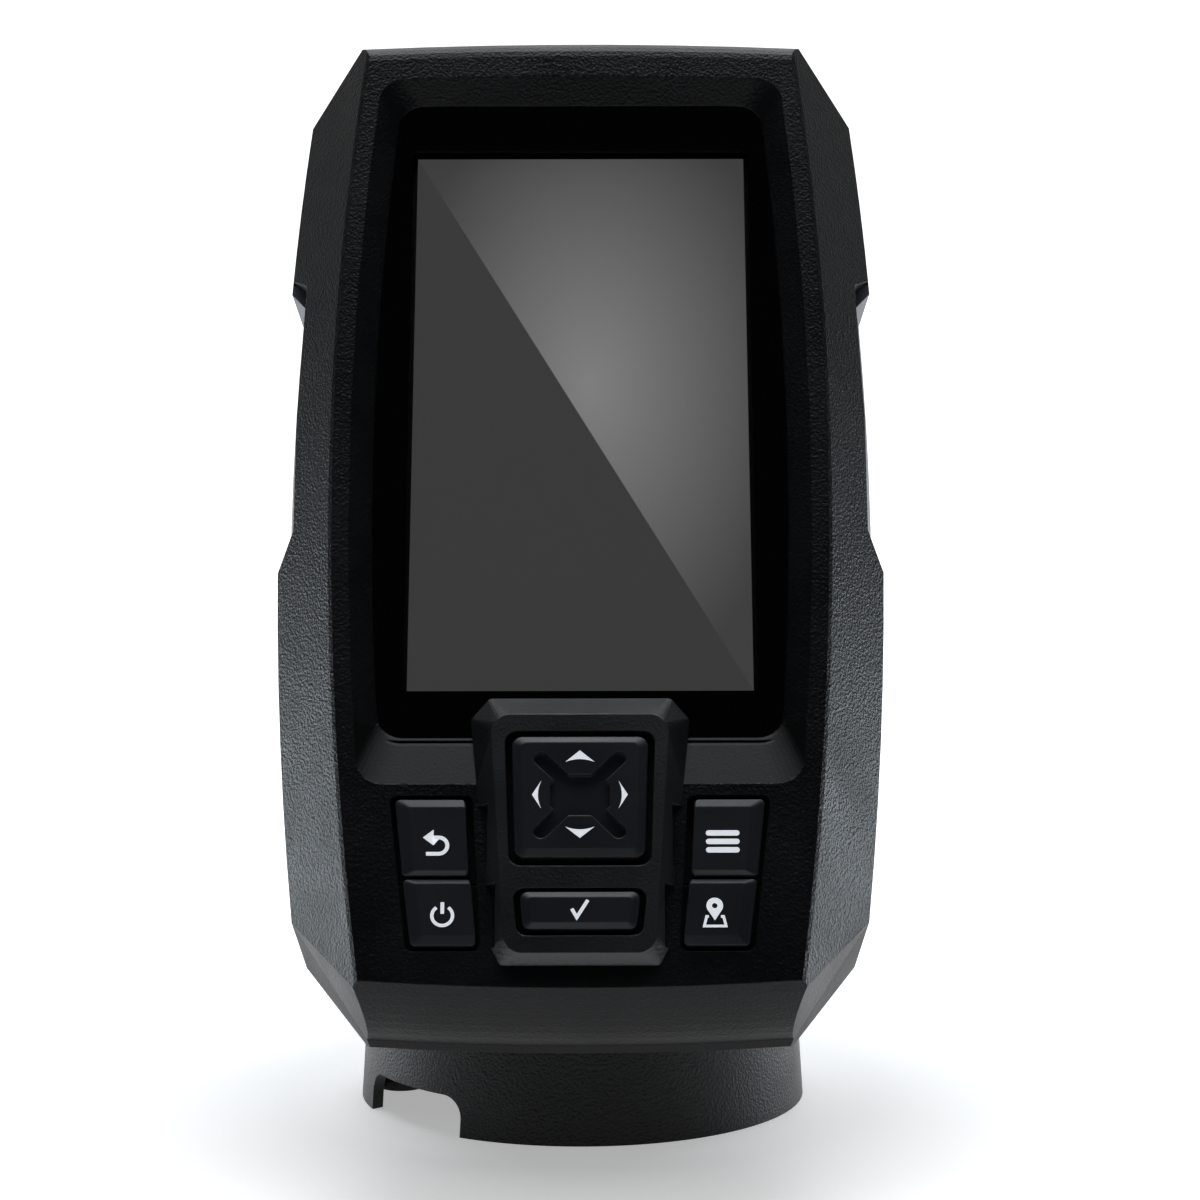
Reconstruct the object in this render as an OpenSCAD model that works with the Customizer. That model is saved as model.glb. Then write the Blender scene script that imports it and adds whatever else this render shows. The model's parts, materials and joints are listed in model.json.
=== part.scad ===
// Fish finder on a tilt and swivel mount.
// The head unit slides onto a cradle, the cradle tilts in a fork, and the fork swivels on a
// round base that is screwed to the deck.
//
// Row frame: origin at the centre of the base's underside, +Z up, the face looks towards -Y.
// Face frame: x to the right, y up the face, z out of the face. Its origin is the middle of
// the picture's lower edge, on the plane of the front rim.

/* [Display] */
// Width of the picture
screen_w = 53.86; // [52:0.02:54]
// Height of the picture
screen_h = 95.04; // [93:0.02:96]
// Depth of the window's face under the front rim
window_depth = 2.7; // [2.4:0.1:3]

/* [Head unit] */
// Half width of the flat front rim where it is widest
rim_half = 39.8; // [39.4:0.1:40]
// Width of the slanted side facet, seen from the front
facet_w = 8.9; // [8.5:0.1:9.2]
// Top of the unit, above the picture's lower edge
unit_top = 118.1; // [117.6:0.1:118.6]
// Bottom of the unit, below the picture's lower edge
unit_bottom = 54.5; // [54:0.5:55]
// Depth of the front shell, rim to parting line
front_depth = 13; // [12.5:0.5:13.5]
// Depth of the rear shell's back wall under the front rim
back_depth = 33; // [32:0.5:34]
// Depth of the whole unit, rim to mounting block
unit_depth = 45; // [44.5:0.5:45.5]
// Wall of the shells, front and back
wall = 2.4; // [2:0.1:2.6]
// Wall of the shells round the edge
edge_wall = 5; // [4.8:0.1:5.2]

/* [Keypad] */
// Height of the raised keypad island above the rim
island_h = 2; // [1.8:0.1:2.2]
// Height of the small keys above the rim
small_key_h = 0.9; // [0.6:0.1:1.1]
// Height of the arrow pad and select key above the island
island_key_h = 0.7; // [0.5:0.1:0.9]

/* [Mount] */
// Angle that the face leans back from the vertical at rest
lean = 30; // [28:1:32]
// Distance of the tilt axis behind the swivel axis
tilt_back = 13.6; // [13:0.1:14]
// Height of the tilt axis above the deck
tilt_height = 52.3; // [52:0.1:54]
// Radius of the base at the deck
base_r = 37.3; // [37:0.1:38]
// Height of the base
base_h = 20; // [19.5:0.5:20]
// Radius of the circle of deck screws
deck_circle_r = 31; // [30.8:0.1:31.2]
// Radius of each deck screw hole
deck_hole_r = 2.2; // [2:0.1:2.4]
// Radius of the cable passage through the swivel
cable_r = 8; // [7.5:0.1:8]

/* [Hidden] */

big = 200;
slit = 0.01;
fine = 256;
round_fn = 32;

// Outline of the unit, seen from the front: long arcs for the sides, top and bottom, and
// straight cuts across the four corners.
side_r = 640;
waist_y = 40;
top_r = 736;
bottom_r = 480;
top_draft = 1.8;
top_fillet = 4;
lip_in = 5.1;
lip_bulge = 6;
top_cut_sum = 151.4;
low_cut_at = [32.2, -53.6];
low_cut_turn = 57;
low_cut_draft = 5.4;
edge_soft = 0.6;

// Grip notch in each side
notch_low = 23.8;
notch_high = 76.7;
notch_in = 2.6;
grip_out = -1.3;
grip_depth = 22;

// Window and bezel
bezel_in = 3.2;
bezel_w = 4.5;
bezel_top = 107.7;
glass_top = 103.2;
glass_bottom = -6.6;
ramp_bottom = -17.1;
window_t = 1.4;
window_half = 34.6;
window_low = -9.6;
window_high = 104.6;
lcd_half = 33.6;
lcd_low = -6.3;
lcd_high = 99.2;
lcd_face = window_depth + window_t + 0.3;
plate_depth = 4.6;

// Keys, as outlines from their top right corner, clockwise, for the right-hand keys
pad_mid = -19.8;
flange_depth = 2.8;
flange_out = 1.5;
pad_flange_depth = 0.85;
pivot_depth = 4;
plunger_tip = 5.35;
sheet_depth = 5.9;
sheet_t = 0.4;
dome_h = 0.6;
board_face = 7;
upper_key = [[28.1, -19.75], [26.75, -31.9], [16.75, -31.9], [17.4, -19.75]];
upper_key_top = [[26, -21.1], [24.95, -31.2], [16.8, -31.2], [17.35, -21.1]];
lower_key = [[26.7, -32.5], [25.35, -42.9], [15.5, -42.9], [16.5, -32.5]];
lower_key_top = [[24.8, -33.3], [23.7, -41.4], [15.6, -41.4], [16.45, -33.3]];
small_well = [[29, -18.9], [26.1, -43.7], [14.9, -43.7], [16.4, -18.9]];
pad_outline = [[10.4, -10.2], [9.8, -29.6], [-9.8, -29.6], [-10.4, -10.2]];
pad_top = [[8.9, -11.3], [8.6, -28.3], [-8.6, -28.3], [-8.9, -11.3]];
pad_well = [[11.5, -9.1], [10.7, -30.9], [-10.7, -30.9], [-11.5, -9.1]];
select_outline = [[9.1, -35.1], [8.5, -40.9], [-8.5, -40.9], [-9.1, -35.1]];
select_top = [[7.8, -36.1], [7.4, -40], [-7.4, -40], [-7.8, -36.1]];
select_well = [[10.1, -34.4], [9.4, -41.9], [-9.4, -41.9], [-10.1, -34.4]];
island_top = [[13.75, -6.4], [11.3, -44.6], [-11.3, -44.6], [-13.75, -6.4]];
island_foot = [
    [14, -12], [15.75, -17.2], [14.7, -29], [13.4, -43], [12, -46],
    [-12, -46], [-13.4, -43], [-14.7, -29], [-15.75, -17.2], [-14, -12]
];
island_toe = [[14, -2], [17.9, -6.8], [-17.9, -6.8], [-14, -2]];
plunger_spots = [
    [22, -26], [20.6, -38], [-22, -26], [-20.6, -38], [0, -38], [0, pad_mid + 7.2],
    [0, pad_mid - 7.2], [7.2, pad_mid], [-7.2, pad_mid]
];

// Screws that hold the shells together
shell_screws = [[31, 110], [38, 46], [32.5, -40], [-31, 110], [-38, 46], [-32.5, -40]];
screw_r = 1.5;
screw_seat = 17;
screw_tip = 7;
main_board_face = 18;
board_screw_spots = [[28, 88], [28, -24], [-28, 88], [-28, -24]];

// Socket for the power and sonar cable, in the back
socket_at = [0, 84];
socket_r = 6.4;
socket_floor = 24;
socket_step = 32.2;
vent_at = [24, 84];

// Cradle, slide rail and lock
block_half = 27;
block_low = -18;
block_high = 62;
rail_low = -14;
rail_high = 37.7;
rail_gap = 0.3;
neck_half = 9;
head_half = 14;
head_face = 38.5;
head_back = 41.5;
plate_face = 45.5;
plate_back = 50.7;
plate_half = 24;
axis_y = 10;
axis_depth = 66;
lever_at = [-18.7, 8];
lever_arm = 8;
lever_rest = 12.5;
nose_r = 2;
lever_face = 45.9;
lever_back = 48.5;

// Fork, tilt bolt and knob
hub_r = 9;
hub_half = 13.9;
washer_t = 0.5;
arm_in = 14.5;
arm_t = 5.5;
arm_r = 10;
bolt_r = 3;
knob_r = 12.5;
knob_from = 20.6;
knob_t = 13;
knob_lobes = 7;
insert_r = 5;

// Swivel
table_r = 26;
table_gap = 0.35;
table_t = 6;
spindle_r = 13;
run_gap = 0.05;
spindle_low = 8;
boss_low = 8.4;
ring_r = 17;
ring_t = 3;
stop_r = 1.5;
stop_circle_r = 20;
swivel_range = 75;

function edge_x(y, out) = rim_half - side_r + sqrt(pow(side_r + out, 2) - pow(y - waist_y, 2));
function top_y(x, top) = top - top_r + sqrt(pow(top_r, 2) - pow(x, 2));
function on_circle(r, a) = [r * cos(a), r * sin(a)];

// ---------- shared shapes ----------

// Puts something drawn in the face frame at its place in the row frame.
module on_face() {
    translate([0, tilt_back, tilt_height])
        rotate([90 - lean, 0, 0])
            translate([0, -axis_y, axis_depth])
                children();
}

// An upright slab between two depths under the front rim. Negative depths stand proud.
module slab(near, far) {
    translate([0, 0, -far])
        linear_extrude(far - near)
            children();
}

module both_sides() {
    children();
    mirror([1, 0, 0])
        children();
}

module ring(outer, inner, h) {
    difference() {
        cylinder(r = outer, h = h, $fn = 96);
        translate([0, 0, -1])
            cylinder(r = inner, h = h + 2, $fn = 96);
    }
}

module soft_polygon(points, r) {
    offset(r = r, $fn = round_fn)
        offset(delta = -r)
            polygon(points);
}

// A disc whose rim has the given profile of [distance out, depth] points.
module edge_disc(centre, r, profile) {
    translate([centre[0], centre[1], 0])
        rotate_extrude($fn = fine)
            polygon(concat([[0, profile[0][1]]], [for (p = profile) [r + p[0], p[1]]],
                [[0, profile[len(profile) - 1][1]]]));
}

function arc_profile(out, depth, r) =
    [for (a = [0 : 15 : 90]) [out + r * (cos(a) - 1), -depth + r * (sin(a) - 1)]];

// The rounded lower lip, from the parting line to the face.
function lip_profile(face) = [for (t = [1 : -0.125 : 0])
    [-lip_in * (1 - t) + lip_bulge * t * (1 - t), -face - (front_depth - face) * t]];

// Cuts across the corners, shifted inwards for the cavity.
module corner_cuts(shift) {
    both_sides() {
        translate([top_cut_sum / 2 - shift * 0.71, top_cut_sum / 2 - shift * 0.71, 0])
            rotate([0, 0, 45])
                translate([0, -big / 2, -big / 2])
                    cube(big);
        translate([low_cut_at[0], low_cut_at[1], -front_depth])
            rotate([0, 0, low_cut_turn])
                rotate([-low_cut_draft, 0, 0])
                    translate([-big / 2, shift - big, -big / 2])
                        cube(big);
    }
}

// The unit's body between the rim and the parting line, or its cavity when shrunk.
module front_body(shrink, face, far) {
    difference() {
        intersection() {
            both_sides_meet()
                edge_disc([rim_half - side_r, waist_y], side_r - shrink, [
                    [facet_w + 0.74 * (far - front_depth), -far], [facet_w, -front_depth],
                    [0, -edge_soft], [-edge_soft, -face], [-2 * edge_soft, -face]
                ]);
            edge_disc([0, unit_top - top_r], top_r - shrink, concat(
                [[0, -far], [0, -front_depth]], arc_profile(-top_draft, face, top_fillet)));
            edge_disc([0, bottom_r - unit_bottom], bottom_r - shrink, concat(
                [[0, -far]], lip_profile(face)));
        }
        corner_cuts(shrink);
    }
}

module both_sides_meet() {
    intersection() {
        children();
        mirror([1, 0, 0])
            children();
    }
}

// One step of the hollow behind the face.
module cavity(near, far, out) {
    slab(near, far)
        edge_outline(facet_w - out);
}

// The body behind the parting line: a band, then chamfers down to the back wall.
module rear_body(shrink, far) {
    cut = shrink * 0.9;
    difference() {
        intersection() {
            both_sides_meet()
                edge_disc([rim_half - side_r, waist_y], side_r - shrink, [
                    [-1 + cut, -far], [facet_w + grip_out, -grip_depth], [facet_w, -front_depth]
                ]);
            edge_disc([0, unit_top - top_r], top_r - shrink, [
                [-11, -far], [-0.4, -20], [0, -front_depth]
            ]);
            edge_disc([0, bottom_r - unit_bottom], bottom_r - shrink, [
                [-36.5, -far], [0.3, -15.5 + shrink * 0.4], [0.8, -14.2], [0, -front_depth]
            ]);
        }
        corner_cuts(shrink);
    }
}

// Region of the grip notch beside the right-hand rim.
module notch_outline(low, high) {
    polygon([
        [edge_x(low, facet_w), low], [edge_x(low, facet_w) - notch_in, low + 5.8],
        [edge_x(50, facet_w) - notch_in, 50],
        [edge_x(high, facet_w) - notch_in, high - 2.9], [edge_x(high, facet_w), high],
        [big / 3, high], [big / 3, low]
    ]);
}

// ---------- head unit: shells ----------

function bezel_points(out, low, high, arched) = [
    for (i = [0 : 6]) let (y = low + (high - low) * i / 6) [edge_x(y, out), y],
    for (i = [1 : 7]) let (x = edge_x(high, out) * (1 - i / 4))
        [x, high + (arched ? top_y(x, 0) - top_y(edge_x(high, out), 0) : 0)],
    for (i = [0 : 6]) let (y = high - (high - low) * i / 6) [-edge_x(y, out), y]
];

module glass_outline() {
    soft_polygon(bezel_points(-bezel_in - bezel_w, glass_bottom, glass_top, false), 3.8);
}

module bezel_recess() {
    hull() {
        slab(-slit, 0)
            soft_polygon(bezel_points(-bezel_in, ramp_bottom, bezel_top, true), 4.4);
        slab(window_depth + 0.1, window_depth + 0.6)
            glass_outline();
    }
}

module island_solid() {
    hull() {
        slab(-island_h, -island_h + slit)
            soft_polygon(island_top, 3);
        slab(-0.05, -0.04)
            soft_polygon(island_foot, 1);
        slab(window_depth - 0.1, window_depth - 0.09)
            soft_polygon(island_toe, 1);
    }
}

// Opening under the island for the flanges of its keys.
module island_hole() {
    offset(delta = -0.3)
        soft_polygon(island_top, 2);
}

module screw_boss(spot, near, far, r) {
    translate([spot[0], spot[1], -far])
        cylinder(r = r, h = far - near, $fn = 48);
}

module front_housing() color([0.07, 0.075, 0.085]) on_face() {
    difference() {
        union() {
            difference() {
                front_body(0, 0, front_depth);
                cavity(plate_depth, front_depth - 4, 0.6);
                cavity(front_depth - 4 - slit, front_depth + 1, 3.9);
                slab(wall, front_depth)
                    translate([-30, -47.5])
                        square([60, 38.5]);
            }
            for (s = shell_screws)
                screw_boss(s, 4, front_depth, 3.4);
        }
        for (s = shell_screws)
            screw_boss(s, 5.5, front_depth + 1, screw_r + 0.05);
        bezel_recess();
        slab(window_depth, plate_depth + 1)
            translate([-window_half - 0.2, window_low - 0.2])
                square([2 * window_half + 0.4, window_high - window_low + 0.4]);
        slab(-1, front_depth)
            island_hole();
        both_sides()
            slab(-1, plate_depth + 1)
                soft_polygon(small_well, 1.2);
        both_sides()
            slab(-1, front_depth + 1)
                notch_outline(notch_low, notch_high);
    }
}

module keypad_surround() color([0.08, 0.085, 0.095]) on_face() {
    difference() {
        island_solid();
        difference() {
            slab(0, window_depth + 1)
                square(big / 2, center = true);
            bezel_recess();
        }
        slab(0, window_depth + 1)
            island_hole();
        slab(-island_h - 1, 1)
            soft_polygon(pad_well, 1.9);
        slab(-island_h - 1, 1)
            soft_polygon(select_well, 1.6);
        both_sides()
            slab(-island_h - 1, 0.4)
                for (y = [-25.6, -38.3])
                    translate([15.1 + (y + 25.6) * 0.1, y])
                        square([2.2, 9.8], center = true);
    }
}

module rear_housing() color([0.05, 0.05, 0.055]) on_face() {
    difference() {
        union() {
            difference() {
                rear_body(0, back_depth);
                rear_cavity();
                both_sides()
                    difference() {
                        slab(front_depth - 1, grip_depth + 6)
                            notch_outline(notch_low, notch_high - 2.4);
                        edge_disc([rim_half - side_r, waist_y], side_r, [
                            [facet_w + grip_out, -big / 4], [facet_w + grip_out, -grip_depth],
                            [facet_w - notch_in, -front_depth], [facet_w - notch_in, 0]
                        ]);
                    }
            }
            mount_block();
            intersection() {
                rear_body(1, back_depth);
                union() {
                    for (s = shell_screws)
                        screw_boss(s, front_depth, back_depth, 5.2);
                    for (s = board_screw_spots)
                        screw_boss(s, main_board_face + 1.65, back_depth, 3);
                }
            }
            translate([socket_at[0], socket_at[1], -back_depth])
                cylinder(r = 11, h = 8, $fn = 96);
        }
        for (s = shell_screws) {
            screw_boss(s, front_depth - 1, back_depth, screw_r + 0.1);
            screw_boss(s, screw_seat, back_depth + 1, 3.6);
        }
        slide_channel();
        lock_groove();
        translate([socket_at[0], socket_at[1], -back_depth - 1])
            cylinder(r = 8.1, h = 20, $fn = 96);
        for (s = board_screw_spots)
            screw_boss(s, main_board_face, main_board_face + 5.5, screw_r + 0.05);
        translate([socket_at[0], socket_at[1], -socket_floor - 6.8])
            cylinder(r = 9.5, h = 1.6, $fn = 96);
        translate([vent_at[0], vent_at[1], -back_depth - 1])
            cylinder(r = 2.05, h = 6, $fn = 48);
        translate([vent_at[0], vent_at[1], -back_depth - 1])
            cylinder(r = 4.1, h = 1.8, $fn = 48);
        for (s = [-1, 1])
            slab(back_depth - wall - 1, unit_depth - 2.4)
                translate([s * 20.8, 33])
                    square([7.6, 48], center = true);
        gasket_ring(front_depth - 1, front_depth + 1.05, 0.05);
    }
}

module rear_cavity() {
    far = back_depth - wall;
    difference() {
        intersection() {
            both_sides_meet()
                edge_disc([rim_half - side_r, waist_y], side_r - edge_wall, [
                    [1, -far], [facet_w, -grip_depth], [facet_w, 1 - front_depth]
                ]);
            edge_disc([0, unit_top - top_r], top_r - edge_wall, [
                [-8, -far], [0, -20], [0, 1 - front_depth]
            ]);
            edge_disc([0, bottom_r - unit_bottom], bottom_r - edge_wall, [
                [-31, -far], [1, -15.5], [1, 1 - front_depth]
            ]);
        }
        corner_cuts(edge_wall);
    }
}

// Block on the back that the cradle's rail slides into, with chamfered long edges.
module mount_block() {
    translate([0, block_high, 0])
        rotate([90, 0, 0])
            linear_extrude(block_high - block_low)
                polygon([
                    [-block_half, 1.5 - back_depth], [-block_half, 3 - unit_depth],
                    [3 - block_half, -unit_depth], [block_half - 3, -unit_depth],
                    [block_half, 3 - unit_depth], [block_half, 1.5 - back_depth]
                ]);
}

// T-shaped channel, open at the lower end.
module slide_channel() {
    slab(head_back, unit_depth + 1)
        translate([-neck_half - rail_gap, block_low - 1])
            square([2 * (neck_half + rail_gap), rail_high + rail_gap - block_low + 1]);
    slab(head_face - rail_gap, head_back + rail_gap)
        translate([-head_half - rail_gap, block_low - 1])
            square([2 * (head_half + rail_gap), rail_high + rail_gap - block_low + 1]);
}

// Groove that the lock's nose leaves by, and the side pocket that holds it.
module lock_groove() {
    slab(unit_depth - 2.8, unit_depth + 1) {
        translate([-19.3, block_low - 1])
            square([4.6, 22]);
        translate([-22.9, -2.3])
            square([4, 5]);
    }
}

// Flat ring that follows the shells' edge at the parting line.
module gasket_ring(near, far, grow) {
    slab(near, far)
        difference() {
            edge_outline(3.4 - grow);
            edge_outline(4.6 + grow);
        }
}

module edge_outline(inset) {
    polygon(edge_points(inset));
}

function edge_points(inset) = concat(
    [for (i = [0 : 6]) let (y = -34 + i * 23) [edge_x(y, facet_w - inset), y]],
    [for (i = [0 : 4]) let (x = (35 - inset * 0.6) * (1 - i / 2)) [x, top_y(x, unit_top - inset)]],
    [for (i = [6 : -1 : 0]) let (y = -34 + i * 23) [-edge_x(y, facet_w - inset), y]],
    [for (i = [0 : 4]) let (x = (inset * 0.6 - 31) * (1 - i / 2))
        [x, -top_y(x, unit_bottom - inset)]]
);

module housing_gasket() color([0.12, 0.12, 0.13]) on_face() {
    gasket_ring(front_depth, front_depth + 1, 0);
}

module housing_screws() color([0.6, 0.6, 0.62]) on_face() {
    for (s = shell_screws)
        difference() {
            union() {
                screw_boss(s, screw_tip, screw_seat, screw_r);
                screw_boss(s, screw_seat, screw_seat + 2.2, 2.8);
            }
            translate([s[0], s[1], -screw_seat - 3])
                cylinder(r = 1.4, h = 2, $fn = 6);
        }
}

// ---------- head unit: display ----------

module window_outline(inset) {
    offset(r = 2, $fn = round_fn)
        translate([0, (window_low + window_high) / 2])
            square([2 * (window_half - inset - 2), window_high - window_low - 2 * inset - 4],
                center = true);
}

module display_window() color([0.02, 0.02, 0.025]) on_face() {
    slab(window_depth, window_depth + window_t)
        window_outline(0);
}

module window_adhesive() color([0.03, 0.03, 0.03]) on_face() {
    slab(window_depth + window_t, window_depth + window_t + 0.25)
        difference() {
            window_outline(0.4);
            translate([0, screen_h / 2])
                square([screen_w + 2, screen_h + 2], center = true);
        }
}

module lcd_panel() color([0.3, 0.3, 0.3]) on_face() {
    slab(lcd_face, lcd_face + 1.2)
        translate([-lcd_half + 0.6, lcd_low + 0.6])
            square([2 * lcd_half - 1.2, lcd_high - lcd_low - 1.2]);
}

module backlight_unit() color([0.7, 0.71, 0.73]) on_face() {
    difference() {
        slab(lcd_face + 0.1, lcd_face + 3)
            translate([-lcd_half, lcd_low])
                square([2 * lcd_half, lcd_high - lcd_low]);
        slab(lcd_face - 1, lcd_face + 1.25)
            translate([-lcd_half + 0.5, lcd_low + 0.5])
                square([2 * lcd_half - 1, lcd_high - lcd_low - 1]);
    }
}

module display_ribbon() color([0.8, 0.5, 0.15]) on_face() {
    difference() {
        slab(lcd_face + 3.05, main_board_face)
            translate([-10, 20])
                square([20, 6]);
        slab(lcd_face + 3.25, main_board_face - 0.2)
            translate([-11, 20.2])
                square([22, 7]);
    }
}

// ---------- head unit: boards and what is on them ----------

module keypad_board() color([0.1, 0.35, 0.2]) on_face() {
    slab(board_face, board_face + 1.2)
        translate([-28.5, -46.5])
            square([57, 38]);
}

module key_domes() color([0.8, 0.8, 0.78]) on_face() {
    for (s = plunger_spots)
        screw_boss(s, board_face - dome_h, board_face, 2.2);
}

module keypad_membrane() color([0.15, 0.15, 0.16]) on_face() {
    slab(sheet_depth, sheet_depth + sheet_t)
        translate([-28.5, -46.5])
            square([57, 38]);
}

module main_board() color([0.1, 0.35, 0.2]) on_face() {
    difference() {
        slab(main_board_face, main_board_face + 1.6)
            translate([-32, -28])
                square([64, 122]);
        for (s = board_screw_spots)
            screw_boss(s, main_board_face - 1, main_board_face + 3, 1.6);
    }
}

module chip(x, y, w, h, t) {
    slab(main_board_face - t, main_board_face)
        translate([x - w / 2, y - h / 2])
            square([w, h]);
}

module board_chips() color([0.06, 0.06, 0.07]) on_face() {
    chip(-16, 40, 16, 16, 1.4);
    chip(10, 42, 12, 9, 1.1);
    chip(10, 54, 12, 9, 1.1);
    chip(-18, 66, 8, 6, 1.2);
    chip(0, -21, 10, 10, 1.2);
}

module sonar_shield() color([0.72, 0.73, 0.75]) on_face() {
    difference() {
        slab(main_board_face + 1.6, main_board_face + 6.4)
            translate([-26, -20])
                square([30, 34]);
        slab(main_board_face + 1, main_board_face + 6.1)
            translate([-25.7, -19.7])
                square([29.4, 33.4]);
    }
}

module sonar_transformer() color([0.25, 0.2, 0.12]) on_face() {
    screw_boss([18, -6], main_board_face + 1.6, main_board_face + 3, 8);
    screw_boss([18, -6], main_board_face + 3, main_board_face + 8, 6.6);
    screw_boss([18, -6], main_board_face + 8, main_board_face + 9.4, 8);
}

module gps_antenna() color([0.82, 0.78, 0.68]) on_face() {
    slab(main_board_face - 4.6, main_board_face)
        translate([9, 64])
            square([18, 18]);
}

module beeper() color([0.08, 0.08, 0.08]) on_face() {
    difference() {
        screw_boss([-20, 78], main_board_face - 4.5, main_board_face, 5);
        screw_boss([-20, 78], main_board_face - 5, main_board_face - 2, 1);
    }
}

// Board-to-board link between the keypad board and the main board.
module board_link() color([0.85, 0.8, 0.6]) on_face() {
    slab(board_face + 1.2, main_board_face)
        translate([-9, -12])
            square([18, 3]);
}

module board_screws() color([0.6, 0.6, 0.62]) on_face() {
    for (s = board_screw_spots) {
        screw_boss(s, main_board_face - 1.4, main_board_face, 2.6);
        screw_boss(s, main_board_face, main_board_face + 5, 1.5);
    }
}

// ---------- head unit: socket and vent ----------

module socket_body() color([0.09, 0.09, 0.1]) on_face()
    translate([socket_at[0], socket_at[1], 0]) {
        difference() {
            union() {
                translate([0, 0, -back_depth - 1.6])
                    cylinder(r = 10, h = 1.55, $fn = 96);
                translate([0, 0, -back_depth - 7])
                    cylinder(r = 8, h = back_depth + 7 - socket_floor + 1.5, $fn = 96);
            }
            translate([0, 0, -back_depth - 8])
                cylinder(r = socket_r, h = back_depth + 8 - socket_step, $fn = 96);
            translate([0, 0, -socket_step - 1])
                cylinder(r = socket_r - 0.4, h = socket_step + 1 - socket_floor, $fn = 96);
            for (a = [45 : 90 : 315])
                translate(concat(on_circle(3, a), [-socket_floor - 1]))
                    cylinder(r = 0.65, h = 4, $fn = 32);
        }
        translate([-0.9, socket_r - 1.6, -socket_step + 0.2])
            cube([1.8, 1.6, socket_step - socket_floor + 0.3]);
    }

module socket_pins() color([0.85, 0.7, 0.35]) on_face()
    for (a = [45 : 90 : 315])
        translate([socket_at[0] + 3 * cos(a), socket_at[1] + 3 * sin(a), -socket_floor - 8])
            cylinder(r = 0.6, h = 12.3, $fn = 32);

module socket_seal() color([0.75, 0.3, 0.12]) on_face()
    translate([socket_at[0], socket_at[1], -socket_floor - 6])
        rotate_extrude($fn = 96)
            translate([8.75, 0])
                circle(r = 0.7, $fn = 24);

module socket_nut() color([0.75, 0.75, 0.77]) on_face()
    translate([socket_at[0], socket_at[1], -back_depth + 8.05])
        difference() {
            cylinder(r = 11.5, h = 2, $fn = 6);
            translate([0, 0, -1])
                cylinder(r = 8.05, h = 4, $fn = 96);
        }

module vent_plug() color([0.1, 0.1, 0.1]) on_face()
    translate([vent_at[0], vent_at[1], -back_depth]) {
        cylinder(r = 2, h = 4, $fn = 48);
        translate([0, 0, -0.8])
            ring(4, 2.6, 1.5);
        translate([0, 0, 0.2])
            cylinder(r = 3, h = 0.5, $fn = 48);
    }

// ---------- keys ----------

// A key: bevelled cap, a flange that keeps it behind the shell, and a plunger.
module key(outline, crown, rise, flange_at, spot, r) {
    hull() {
        slab(-rise + 0.55, flange_at)
            soft_polygon(outline, r);
        slab(-rise, -rise + slit)
            soft_polygon(crown, r * 0.5);
    }
    slab(flange_at, flange_at + 0.8)
        offset(delta = flange_out)
            polygon(outline);
    screw_boss(spot, flange_at + 0.7, plunger_tip, 1.6);
}

module power_key() color([0.1, 0.105, 0.115]) on_face()
    mirror([1, 0, 0])
        lower_small_key();

module back_key() color([0.1, 0.105, 0.115]) on_face()
    mirror([1, 0, 0])
        upper_small_key();

module menu_key() color([0.1, 0.105, 0.115]) on_face()
    upper_small_key();

module mark_key() color([0.1, 0.105, 0.115]) on_face()
    lower_small_key();

// The flanges of neighbouring keys stop short of each other.
module upper_small_key() {
    difference() {
        key(upper_key, upper_key_top, small_key_h, flange_depth, plunger_spots[0], 0.7);
        translate([0, -32 - big / 2, 0])
            cube(big, center = true);
    }
}

module lower_small_key() {
    difference() {
        key(lower_key, lower_key_top, small_key_h, flange_depth, plunger_spots[1], 0.7);
        translate([0, -32.4 + big / 2, 0])
            cube(big, center = true);
    }
}

module select_key() color([0.1, 0.105, 0.115]) on_face()
    key(select_outline, select_top, island_h + island_key_h, 0.4, plunger_spots[4], 1.2);

// Rubber cross that the arrow pad rocks on, one round bar for each of its two axes.
module pad_pivot() color([0.15, 0.15, 0.16]) on_face()
    translate([0, pad_mid, -pivot_depth])
        for (turn = [[0, 90, 0], [90, 0, 0]])
            rotate(turn)
                cylinder(r = 1.2, h = 6, center = true, $fn = 48);

module arrow_pad() color([0.1, 0.105, 0.115]) on_face() {
    rise = island_h + island_key_h;
    difference() {
        hull() {
            slab(-rise + 0.6, pad_flange_depth + 0.1)
                soft_polygon(pad_outline, 1.6);
            slab(-rise, -rise + slit)
                soft_polygon(pad_top, 0.9);
        }
        translate([0, pad_mid, rise - 0.95])
            linear_extrude(1.5)
                pad_cross();
    }
    slab(pad_flange_depth, pad_flange_depth + 0.8)
        offset(delta = flange_out)
            polygon(pad_outline);
    screw_boss([0, pad_mid], pad_flange_depth + 0.7, 2.5, 4);
    for (i = [5 : 8])
        screw_boss(plunger_spots[i], pad_flange_depth + 0.7, plunger_tip, 1.5);
}

// Finger recess: an eight-sided middle with four diagonal grooves.
module pad_cross() {
    polygon([
        [3, 3.3], [4.5, 1.8], [4.5, -1.8], [3, -3.3],
        [-3, -3.3], [-4.5, -1.8], [-4.5, 1.8], [-3, 3.3]
    ]);
    for (a = [45, 135])
        rotate(a) {
            square([16.6, 2.2], center = true);
            for (end = [-8.3, 8.3])
                translate([end, 0])
                    circle(r = 1.1, $fn = round_fn);
        }
}

// ---------- mount ----------

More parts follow.
